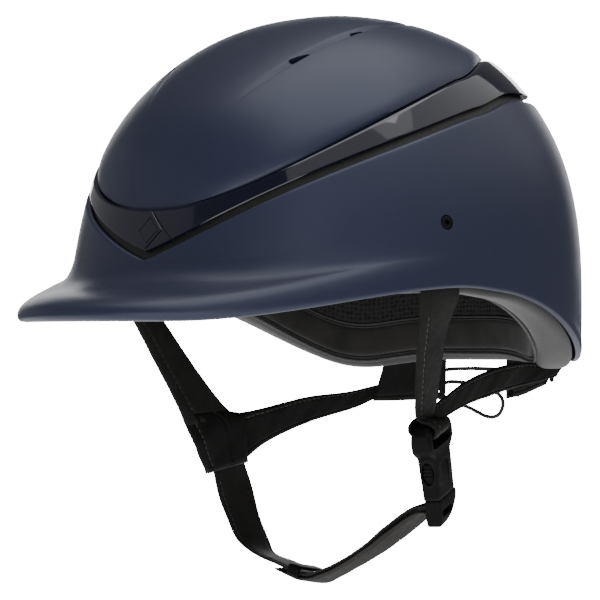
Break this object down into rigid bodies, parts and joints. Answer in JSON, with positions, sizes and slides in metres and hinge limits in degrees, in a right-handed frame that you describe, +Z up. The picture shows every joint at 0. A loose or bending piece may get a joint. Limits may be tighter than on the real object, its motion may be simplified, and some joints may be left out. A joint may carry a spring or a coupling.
{
  "type": "equestrian riding helmet",
  "caption": "Riding helmet with a wide peak, gloss trim band, foam and fabric lining, laced nape harness and a chin strap with side-release buckle.",
  "frame": {"origin": "middle of the head opening, level with the rim above the ears", "axes": "-Y to the front, +X to the wearer's left, +Z up through the crown"},
  "size_m": [0.224, 0.286, 0.273],
  "materials": {
    "shell": "satin-matt navy paint on a moulded shell",
    "band": "piano gloss, navy black",
    "foam": "black expanded bead foam",
    "woven_trim": "grey twill with a soft padded face",
    "lining": "black brushed technical fabric",
    "mesh": "black open spacer mesh",
    "strap": "black synthetic leather with a soft sheen and stitched edges",
    "buckle": "black acetal, fine grain",
    "cord": "black round elastic lace",
    "metal": "zinc-plated steel"
  },
  "bodies": {
    "helmet": {"outer_shell": "shell", "crown_shell": "shell", "trim_band": "band", "band_badge": "band", "vent_screens": "mesh", "foam_liner": "foam", "rim_cover": "woven_trim", "headband": "lining", "brow_pad": "lining", "crown_liner": "mesh", "anchor_screws": "buckle", "anchor_nuts": "metal", "nape_rivets": "buckle", "front_strap_left": "strap", "front_strap_right": "strap", "rear_strap_left": "strap", "rear_strap_right": "strap", "nape_tab_left": "strap", "nape_tab_right": "strap", "lace_eyelets": "buckle", "nape_lace": "cord", "lace_loop": "cord", "junction_patch": "strap", "chin_strap": "strap", "buckle_socket": "buckle"},
    "slider": {"strap_slider": "buckle"},
    "plug": {"buckle_plug": "buckle", "chin_strap_buckle_end": "strap"},
    "prong_front": {"buckle_prong_front": "buckle"},
    "prong_rear": {"buckle_prong_rear": "buckle"}
  },
  "joints": [
    {"name": "buckle_release", "type": "slide", "parent": "helmet", "child": "plug", "axis": [-0.0741, 0.2593, -0.963], "range_m": [0, 0.022]},
    {"name": "prong_squeeze", "type": "hinge", "parent": "plug", "child": "prong_front", "pos_m": [0.07308, -0.00926, -0.10044], "axis": [-0.9295, -0.3678, -0.0275], "range_deg": [0, 7], "stiffness_Nm_per_rad": 0.02},
    {"name": "prong_squeeze_rear", "type": "hinge", "parent": "plug", "child": "prong_rear", "pos_m": [0.0677, 0.00404, -0.09645], "axis": [0.9295, 0.3678, 0.0275], "range_deg": [0, 7], "stiffness_Nm_per_rad": 0.02},
    {"name": "slider_travel", "type": "slide", "parent": "helmet", "child": "slider", "axis": [-0.9515, 0.213, 0.222], "range_m": [0, 0.012]}
  ],
  "couplings": [
    {"joint": "prong_squeeze_rear", "follows": "prong_squeeze", "ratio": 1}
  ]
}
